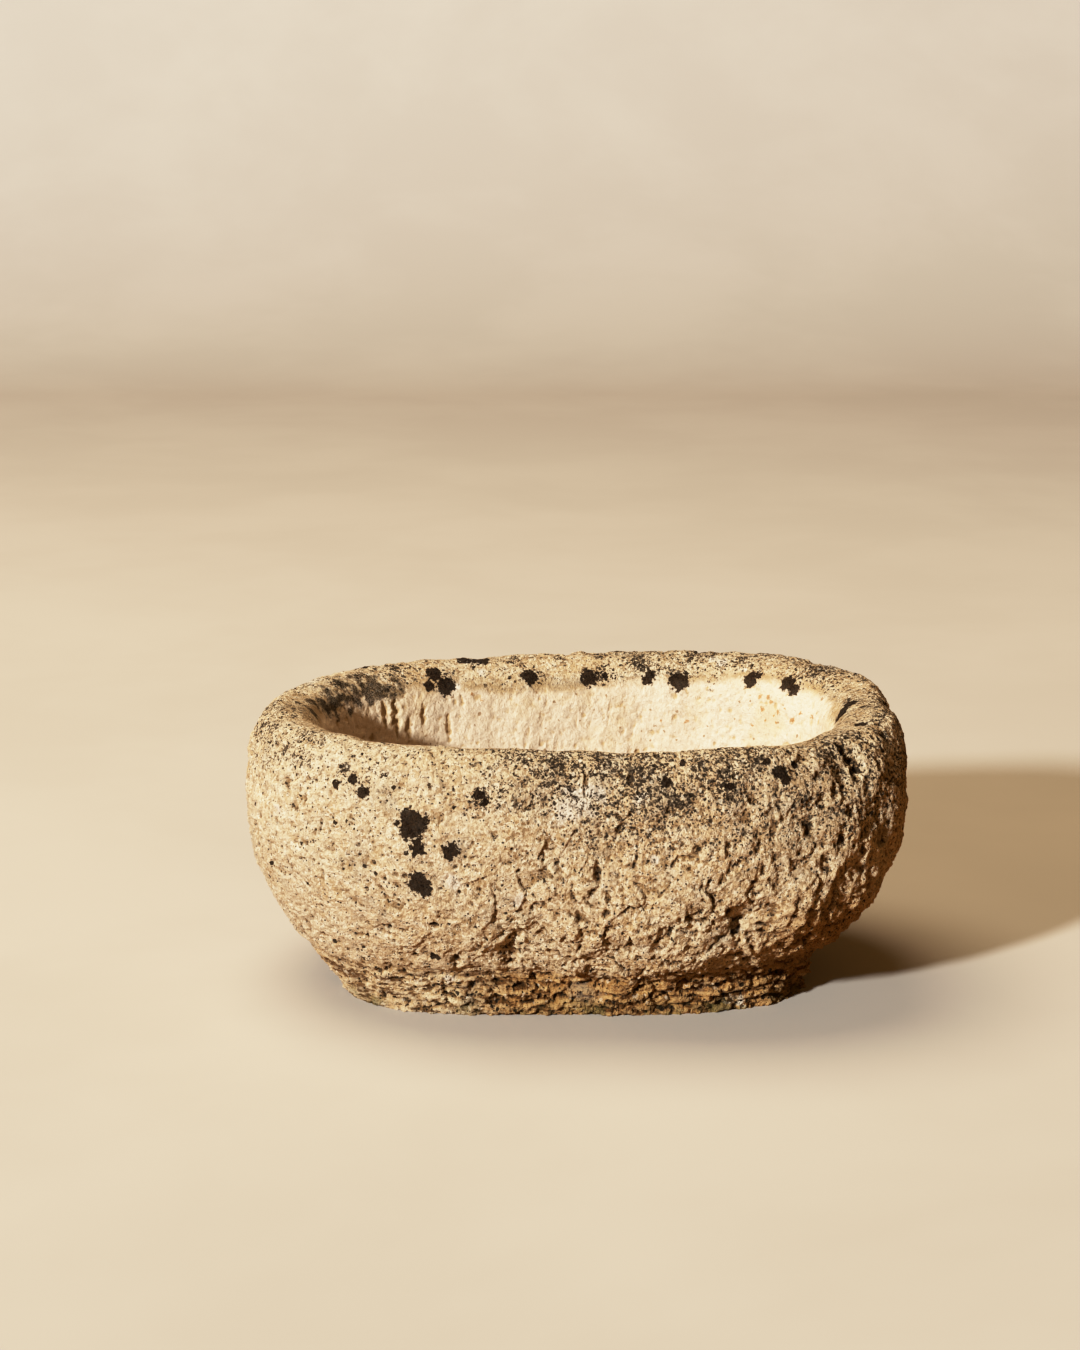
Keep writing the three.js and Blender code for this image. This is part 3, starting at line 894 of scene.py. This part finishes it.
# %% [markdown]
# Four effects are used again and again, so they are groups. "mineral grain" is the sandy unevenness
# of any stone or plaster. "frayed spot" turns the stored nearness into a patch whose edge is eaten by
# noise; lichen, stain, rust and chalk are this one group with other numbers. "speckles" colours single
# grains, as many as its share asks for, and "pores" opens a small round hole in the middle of them.

# %% The mineral grain group
grain_group, given, result = new_group(
    "mineral grain", {"Place": None, "Lumps": 300.0, "Warp": 0.4}, ("Fine", "Own", "Broad", "Height"))
fine = noise(grain_group, given["Place"], maths(grain_group, "MULTIPLY", given["Lumps"], 2.2), 3.0, 0.65)
broad = noise(grain_group, given["Place"], maths(grain_group, "MULTIPLY", given["Lumps"], 0.055), 4.0, 0.6,
              given["Warp"])
middle = noise(grain_group, given["Place"], given["Lumps"], 3.0, 0.6, given["Warp"])
own = cells(grain_group, given["Place"], given["Lumps"])[0]
rise = maths(grain_group, "ADD", maths(grain_group, "MULTIPLY", fine, 0.5), middle)
rise = maths(grain_group, "ADD", rise, maths(grain_group, "MULTIPLY", own, 0.16))
for name, value in (("Fine", fine), ("Own", own), ("Broad", broad), ("Height", rise)):
    grain_group.links.new(value, result[name])
print(grain_group.name, "has", len(grain_group.nodes), "nodes")

# %% The frayed spot group
spot_group, given, result = new_group(
    "frayed spot", {"Place": None, "Nearness": -1.0, "Fray": 0.5, "Lumps": 400.0, "Edge": 0.1}, ("Mask",))
ragged = noise(spot_group, given["Place"], given["Lumps"], 4.0, 0.6)
ragged = maths(spot_group, "MULTIPLY", maths(spot_group, "SUBTRACT", ragged, 0.5), given["Fray"])
reach = maths(spot_group, "ADD", given["Nearness"], maths(spot_group, "MULTIPLY", ragged, 4.0))
spot_group.links.new(between_levels(spot_group, reach, 0.0, given["Edge"]), result["Mask"])
print(spot_group.name, "has", len(spot_group.nodes), "nodes")

# %% The speckles and pores groups
speckle_group, given, result = new_group(
    "speckles", {"Place": None, "Lumps": 400.0, "Share": 0.1, "Edge": 0.04}, ("Mask",))
own = cells(speckle_group, given["Place"], given["Lumps"])[0]
past = maths(speckle_group, "SUBTRACT", own, maths(speckle_group, "SUBTRACT", 1.0, given["Share"]))
speckle_group.links.new(between_levels(speckle_group, past, 0.0, given["Edge"]), result["Mask"])

pore_group, given, result = new_group("pores", {"Place": None, "Lumps": 400.0, "Share": 0.1}, ("Mask",))
own, away = cells(pore_group, given["Place"], given["Lumps"])
least = maths(pore_group, "SUBTRACT", 1.0, given["Share"])
width = put(pore_group, "MapRange", {"Value": own, "From Min": least, "From Max": 1.0, "To Max": 0.5})
left = maths(pore_group, "SUBTRACT", width.outputs["Result"], away)
pore_group.links.new(between_levels(pore_group, left, 0.0, 0.14), result["Mask"])
print("groups:", ", ".join(group.name for group in bpy.data.node_groups))

# %% [markdown]
# Now the stone itself. The order matters, as it did outdoors: cream stone first, then the greyer
# crown and the ochre low down, then wear on the ridges, dirt and painted shade in the hollows and
# painted shade low on the right, then dark grains, pores and stains, and last the lichens, which sit
# on top of everything. A few helpers that know the stone's own node tree keep each layer to one line:
# a mask, and the colour that it lets through.

# %% The material, and what is stored on the mesh
limestone, stone_nodes, shader = new_material("weathered limestone")
place = put(stone_nodes, "TexCoord").outputs["Object"]
tall = put(stone_nodes, "SeparateXYZ", {0: place}).outputs["Z"]


def stored(name):
    """A share stored on the mesh."""
    return put(stone_nodes, "Attribute", attribute_name=name).outputs["Fac"]


def report_nodes(part):
    """Says how large the node tree is once a part of it is there."""
    print("with", part, "the limestone has", len(stone_nodes.nodes), "nodes")


report_nodes("its place")

# %% Masks of spots, grains, pores and clouds
def spot(name, fray, lumps_to_metre, edge):
    """A mask made of one kind of stored spot."""
    made = use_group(stone_nodes, spot_group, Place=place, Nearness=stored(name), Fray=fray,
                     Lumps=lumps_to_metre, Edge=edge)
    return made["Mask"]


def speckles(lumps_to_metre, share, edge=0.04):
    """A mask of single grains."""
    made = use_group(stone_nodes, speckle_group, Place=place, Lumps=lumps_to_metre, Share=share, Edge=edge)
    return made["Mask"]


def holes(lumps_to_metre, share):
    """A mask of small round pores."""
    return use_group(stone_nodes, pore_group, Place=place, Lumps=lumps_to_metre, Share=share)["Mask"]


def clouds(lumps_to_metre, detail=3.0, roughness=0.55, warp=0.0):
    """A cloudy value over the stone."""
    return noise(stone_nodes, place, lumps_to_metre, detail, roughness, warp)


report_nodes("helpers for masks")

# %% Sums, products and layers
def levels(value, low, high, top=1.0):
    """From 0 to top as the value goes from low to high."""
    return between_levels(stone_nodes, value, low, high, top)


def product(first, *others):
    """Masks and numbers multiplied together."""
    for other in others:
        first = maths(stone_nodes, "MULTIPLY", first, other)
    return first


def total(first, *others):
    """Masks and numbers added up."""
    for other in others:
        first = maths(stone_nodes, "ADD", first, other)
    return first


def opposite(mask):
    """1 where the mask is 0, and 0 where it is 1."""
    return maths(stone_nodes, "SUBTRACT", 1.0, mask)


def painted(under, *layers):
    """The colour under, with each layer's colour laid over it through its mask, in turn."""
    for mask, tint in layers:
        under = lay_over(stone_nodes, mask, under, (*tint, 1))
    return under


report_nodes("helpers for layers")

# %% Cream, ochre and single grains
CREAM, OCHRE, WORN_GREY = (0.79, 0.66, 0.475), (0.73, 0.55, 0.34), (0.70, 0.62, 0.48)
grain = use_group(stone_nodes, grain_group, Place=place, Lumps=600.0, Warp=0.5)
worn_left = stored("worn")
grainy = opposite(product(worn_left, 0.45))
patches = clouds(16.0, 4.0, 0.6, 0.6)
cloudy = clouds(55.0, 4.0, 0.62, 0.8)
smaller = clouds(130.0, 3.0, 0.6, 0.6)
colour = lay_over(stone_nodes, levels(patches, 0.38, 0.68), (*CREAM, 1), (*OCHRE, 1))
colour = painted(
    colour,
    (product(worn_left, 0.4), WORN_GREY),
    # Brown and pale clouds of about two centimetres, on a stone that is greyer where it is worn.
    (levels(cloudy, 0.52, 0.7, 0.55), (0.52, 0.36, 0.18)),
    (levels(cloudy, 0.46, 0.32, 0.5), (0.84, 0.75, 0.60)),
    # Bright grains, dark grains and the finest dark dust.
    (levels(grain["Own"], 0.5, 0.95, 0.78), (0.95, 0.865, 0.715)),
    (product(levels(grain["Own"], 0.42, 0.0, 0.88), grainy), (0.29, 0.18, 0.085)),
    (product(levels(grain["Fine"], 0.46, 0.34, 0.75), grainy), (0.27, 0.165, 0.075)),
    # Brown and pale clouds again, less than a centimetre wide.
    (levels(smaller, 0.54, 0.68, 0.4), (0.50, 0.345, 0.175)),
    (levels(smaller, 0.45, 0.33, 0.45), (0.88, 0.79, 0.635)),
)
report_nodes("its grain")

# %% [markdown]
# The foot and the hollow had other lives than the flank: the foot stood in soil, and the hollow held
# earth or water, which kept lichens off and left it pale. The shares that shaped these parts colour
# them too, so colour and shape meet at the same line. Halfway between 0 and 1, the product of a share
# and its opposite is largest, which draws the brown line along the lip without a new mask.

# %% Ochre low down, the beds of the foot and the pale hollow
crowned, footed, inside = stored("crown"), stored("foot"), stored("in_hollow")
hollow_fine, hollow_wide = stored("fine_hollow"), stored("wide_hollow")
low_down = levels(tall, 0.06, 0.012, 0.4)
flattened = put(stone_nodes, "VectorMath", {0: place, 1: (0.3, 0.3, 1.2)}, operation="MULTIPLY").outputs[0]
layered = noise(stone_nodes, flattened, 190.0, 4.0, 0.6, 0.5)
lip = product(inside, opposite(inside), 2.6)
colour = painted(
    colour,
    (product(low_down, levels(grain["Broad"], 0.35, 0.6)), (0.48, 0.31, 0.14)),
    (product(crowned, 0.2), (0.66, 0.565, 0.43)),
    # The foot is browner, with dark and pale beds.
    (product(footed, 0.3), (0.60, 0.40, 0.185)),
    (product(footed, levels(layered, 0.49, 0.58, 0.9)), (0.13, 0.062, 0.018)),
    (product(footed, levels(layered, 0.44, 0.34, 0.7)), (0.88, 0.77, 0.55)),
    # The inner wall is paler and cleaner. It is brown along the lip, and brown in its flutes and small
    # hollows, which is partly dirt and partly painted shade.
    (product(inside, 0.84), (0.67, 0.575, 0.47)),
    (product(inside, levels(hollow_fine, 0.02, 0.35, 0.75)), (0.46, 0.32, 0.155)),
    (product(inside, levels(grain["Broad"], 0.5, 0.68, 0.4)), (0.60, 0.46, 0.28)),
    (product(lip, levels(grain["Broad"], 0.34, 0.56)), (0.36, 0.245, 0.11)),
)
report_nodes("its foot and hollow")

# %% Wear on the ridges, dirt and painted shade in the hollows, soil, painted shade and chalk
outside = opposite(product(inside, 0.8))
colour = painted(
    colour,
    # Ridges are worn pale. Wide hollows are brown, small ones darker and the deepest nearly black: partly
    # dirt, and partly painted shade where the crevices fall into shadow.
    (levels(hollow_fine, -0.08, -0.5, 0.5), (0.86, 0.745, 0.55)),
    (product(levels(hollow_wide, 0.15, 0.9, 0.4), outside), (0.36, 0.23, 0.10)),
    (product(levels(hollow_fine, 0.11, 0.52, 0.66), outside), (0.25, 0.15, 0.065)),
    (product(levels(hollow_fine, 0.52, 0.95, 0.85), outside), (0.055, 0.031, 0.013)),
)
# The foot is browned by soil; on the lower right flank the same darkening is painted shade.
earth_and_shade = product(stored("soiled_and_shaded"), 0.85)
colour = lay_over(stone_nodes, earth_and_shade, colour, (0.72, 0.56, 0.34, 1), "MULTIPLY")
colour = painted(
    colour,
    # Chalky patches, and faint grey clouds of weathering.
    (product(spot("chalk", 0.6, 160.0, 0.7), 0.9), (0.84, 0.77, 0.67)),
    (product(levels(clouds(34.0), 0.56, 0.7, 0.35), outside), (0.42, 0.38, 0.315)),
)
report_nodes("its wear and dirt")

# %% [markdown]
# From afar the crown looks grey, yet close up it is cream stone with single black grains, where soot and
# young lichen took hold. Painting it grey would look like dust. So each grain is given a random value,
# and the grains above a threshold turn dark: where the share is higher, more of them do. Grains of five
# sizes keep the pattern from looking printed.

# %% Dark grains
DARK = (0.045, 0.032, 0.021)
growth = levels(clouds(22.0, 3.0, 0.6), 0.38, 0.62)
high_up = levels(tall, 0.085, 0.15)
# There are more of them on the crown, high among the strokes, in clouds, in smudges and in hollows.
share_dark = total(
    product(crowned, 0.02), product(high_up, stored("picked"), 0.06), product(growth, crowned, 0.10),
    levels(stored("smudge"), -0.1, 0.9, 0.24), product(hollow_fine, 0.12), 0.01,
)
share_dark = product(share_dark, outside)
colour = painted(colour, (product(speckles(380.0, product(share_dark, 0.7), 0.06), 0.8), DARK))
for lumps_to_metre in (600.0, 760.0, 980.0, 1250.0):
    colour = painted(colour, (product(speckles(lumps_to_metre, share_dark, 0.05), 0.88), DARK))
report_nodes("its dark grains")

# %% Pale grains, settled dirt and pores
settled = product(inside, levels(tall, 0.1, 0.055))
share_holes = total(product(footed, 0.2), 0.06)
hole_mask = maths(stone_nodes, "MAXIMUM", holes(600.0, 0.34), holes(270.0, share_holes))
hole_mask = product(hole_mask, outside)
colour = painted(
    colour,
    # Pale grains outside, and brown dirt that settled low in the hollow.
    (product(speckles(480.0, 0.04), outside, 0.7), (0.90, 0.82, 0.68)),
    (product(settled, levels(grain["Broad"], 0.38, 0.6, 0.75)), (0.35, 0.245, 0.135)),
    (product(settled, speckles(420.0, 0.16), 0.6), (0.20, 0.13, 0.065)),
    # Pores, nearly black outside and brown inside: the dark is painted shade in the holes, with some dirt.
    (product(hole_mask, 0.95), (0.025, 0.015, 0.007)),
    (product(holes(330.0, 0.07), inside, 0.7), (0.20, 0.115, 0.045)),
)
report_nodes("its pores")

# %% Soot, rust, lichens and moss
sooty = total(levels(grain["Fine"], 0.42, 0.55, 0.35), 0.62)
lichen_mask = spot("lichen", 0.5, 310.0, 0.16)
lichen_colour = lay_over(stone_nodes, levels(grain["Fine"], 0.4, 0.62), (0.008, 0.004, 0.002, 1),
                         (0.042, 0.020, 0.008, 1))
moss = product(levels(tall, 0.014, 0.003), levels(clouds(40.0), 0.45, 0.62, 0.6))
colour = painted(
    colour,
    # The stain is soot on the left rim; where it spreads down inside the left end it is painted shade.
    (product(spot("stain_and_shade", 0.95, 170.0, 0.7), sooty), (0.026, 0.015, 0.006)),
    (product(spot("rust", 0.8, 600.0, 0.5), 0.75), (0.36, 0.17, 0.045)),
)
colour = lay_over(stone_nodes, product(lichen_mask, 0.96), colour, lichen_colour)
colour = painted(colour, (moss, (0.145, 0.14, 0.055)))
stone_nodes.links.new(colour, shader.inputs["Base Color"])
report_nodes("its lichens")

# %% [markdown]
# Grains finer than the skin's own faces are only a bump. They are dull, and the pores must not shine, so
# the roughness is high everywhere and the stone mirrors very little.

# %% Bump and roughness
BUMP_HEIGHT = 0.0022  # metres, for a change of 1 in the value below
bumps = product(grain["Height"], total(outside, 0.3))
bumps = maths(stone_nodes, "SUBTRACT", bumps, product(hole_mask, 0.5))
bumps = total(bumps, product(lichen_mask, 0.35))
bump = put(stone_nodes, "Bump", {"Height": bumps, "Distance": BUMP_HEIGHT, "Strength": 1.0})
roughness = put(stone_nodes, "MapRange", {"Value": grain["Fine"], "From Min": 0.3, "From Max": 0.7,
                                          "To Min": 0.97, "To Max": 0.84})
fill(stone_nodes, shader.inputs["Normal"], bump.outputs["Normal"])
fill(stone_nodes, shader.inputs["Roughness"], roughness.outputs["Result"])
shader.inputs["Specular IOR Level"].default_value = 0.12
mesh.materials.append(limestone)
report_nodes("its bumps")

# %% [markdown]
# The floor is plain and pale so that only the stone speaks. One strong lamp stands twenty metres away,
# low and well to the left of the camera: light that rakes across the face is what shows tool marks, and
# a lamp beside the camera would hide them. A weak, warm lamp overhead and dim, warm surroundings keep the
# right flank dark without making it black. A pale floor would also light the stone from below and wash
# out its foot, so the light that leaves the floor towards the stone is made warmer and dimmer than
# what the camera sees of it. Last comes a tone curve: it darkens the shadows, lifts the middle and
# rolls off the highlights, as a photographic print does.

# %% The floor
# It is one mesh of flat rectangles, and a strip of it sweeps up behind the stone.
FLOOR_REACH, SWEEP_HALF = 16.0, 6.0
SWEEP_START, SWEEP_RADIUS, SWEEP_STEPS = 3.0, 2.0, 24
floor_columns = (-FLOOR_REACH, -SWEEP_HALF, SWEEP_HALF, FLOOR_REACH)
floor_rows = (-FLOOR_REACH, SWEEP_START - 1, SWEEP_START, FLOOR_REACH)
points = [(x, y, 0) for y in floor_rows for x in floor_columns]
floor_faces = [(k, k + 1, k + 5, k + 4) for k in (0, 1, 2, 4, 5, 6, 8, 10)]
edge = (9, 10)  # the sweep rises from the middle of the third row
for turn in np.linspace(0, math.pi / 2, SWEEP_STEPS)[1:]:
    y, z = SWEEP_START + SWEEP_RADIUS * math.sin(turn), SWEEP_RADIUS * (1 - math.cos(turn))
    points += [(-SWEEP_HALF, y, z), (SWEEP_HALF, y, z)]
    floor_faces.append((*edge, len(points) - 1, len(points) - 2))
    edge = (len(points) - 2, len(points) - 1)
floor_mesh = bpy.data.meshes.new("floor")
floor_mesh.from_pydata(points, [], floor_faces)
floor_mesh.update()
for face in floor_mesh.polygons:
    face.use_smooth = True
floor = add_object("floor", floor_mesh)
print("the floor has", len(floor_mesh.polygons), "faces")

# %% The finish of the floor
FLOOR_DARKER, FLOOR_PALER = (0.55, 0.54, 0.52, 1), (0.58, 0.57, 0.55, 1)
FLOOR_TO_STONE = (0.34, 0.18, 0.055, 1)  # the colour of the floor in the light that it throws back
pale, pale_nodes, pale_shader = new_material("pale floor")
floor_place = put(pale_nodes, "TexCoord").outputs["Object"]
floor_grain = use_group(pale_nodes, grain_group, Place=floor_place, Lumps=40.0, Warp=0.2)
floor_patches = between_levels(pale_nodes, floor_grain["Broad"], 0.35, 0.65)
floor_colour = lay_over(pale_nodes, floor_patches, FLOOR_DARKER, FLOOR_PALER)
seen = put(pale_nodes, "LightPath").outputs["Is Camera Ray"]
floor_colour = lay_over(pale_nodes, seen, FLOOR_TO_STONE, floor_colour)
fill(pale_nodes, pale_shader.inputs["Base Color"], floor_colour)
pale_shader.inputs["Roughness"].default_value = 0.9
pale_shader.inputs["Specular IOR Level"].default_value = 0.15
floor_mesh.materials.append(pale)
print("the floor's finish has", len(pale_nodes.nodes), "nodes")

# %% The lamps and the surroundings
LAMP_TURN, LAMP_RISE, LAMP_FAR = math.radians(40), math.radians(20), 20.0
AIR_TO_STONE, AIR_SEEN = (0.165, 0.088, 0.026, 1), (0.66, 0.55, 0.45, 1)


def round_lamp(name, at, behind, width, power, tint):
    """A round lamp that shines away from the direction behind it."""
    made = add_object(name, bpy.data.lights.new(name, "AREA"))
    made.data.shape = "DISK"
    made.data.size = width
    made.data.energy = power
    made.data.color = tint
    made.location = at
    made.rotation_euler = behind.to_track_quat("Z", "Y").to_euler()
    return made


toward_lamp = Vector((-math.sin(LAMP_TURN) * math.cos(LAMP_RISE),
                      -math.cos(LAMP_TURN) * math.cos(LAMP_RISE), math.sin(LAMP_RISE)))
lamp_place = toward_lamp * LAMP_FAR + Vector((0, 0, 0.1))
lamp = round_lamp("lamp", lamp_place, toward_lamp, 1.5, 6200, (1.0, 0.95, 0.87))
overhead = Vector((-0.9, 0.5, 3.2))
round_lamp("sky lamp", overhead, overhead, 2.5, 75, (1.0, 0.80, 0.56))

surroundings = bpy.data.worlds.new("surroundings")
surroundings.use_nodes = True
air_nodes = surroundings.node_tree
looked_at = put(air_nodes, "LightPath").outputs["Is Camera Ray"]
air = lay_over(air_nodes, looked_at, AIR_TO_STONE, AIR_SEEN)
fill(air_nodes, air_nodes.nodes["Background"].inputs["Color"], air)
bpy.context.scene.world = surroundings
print("lamp stands at", np.round(lamp.location, 2).tolist())

# %% The tone curve
# A brightness in the scene, and the brightness that it is shown at.
TONES = ((0.05, 0.034), (0.1, 0.075), (0.2, 0.18), (0.35, 0.365), (0.5, 0.555), (0.7, 0.755),
         (0.9, 0.875), (1.2, 0.95))
BRIGHTEST = 1.6
view = bpy.context.scene.view_settings
view.view_transform = "Standard"
view.use_curve_mapping = True
view.curve_mapping.white_level = (BRIGHTEST, BRIGHTEST, BRIGHTEST)
for brightness, shown in TONES:
    view.curve_mapping.curves[3].points.new(brightness / BRIGHTEST, shown)
view.curve_mapping.update()
print("tone curve of", len(TONES), "points")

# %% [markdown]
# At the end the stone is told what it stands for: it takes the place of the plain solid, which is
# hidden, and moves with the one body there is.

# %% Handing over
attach(stone, "root")
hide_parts("stone_body")
bpy.context.view_layer.update()
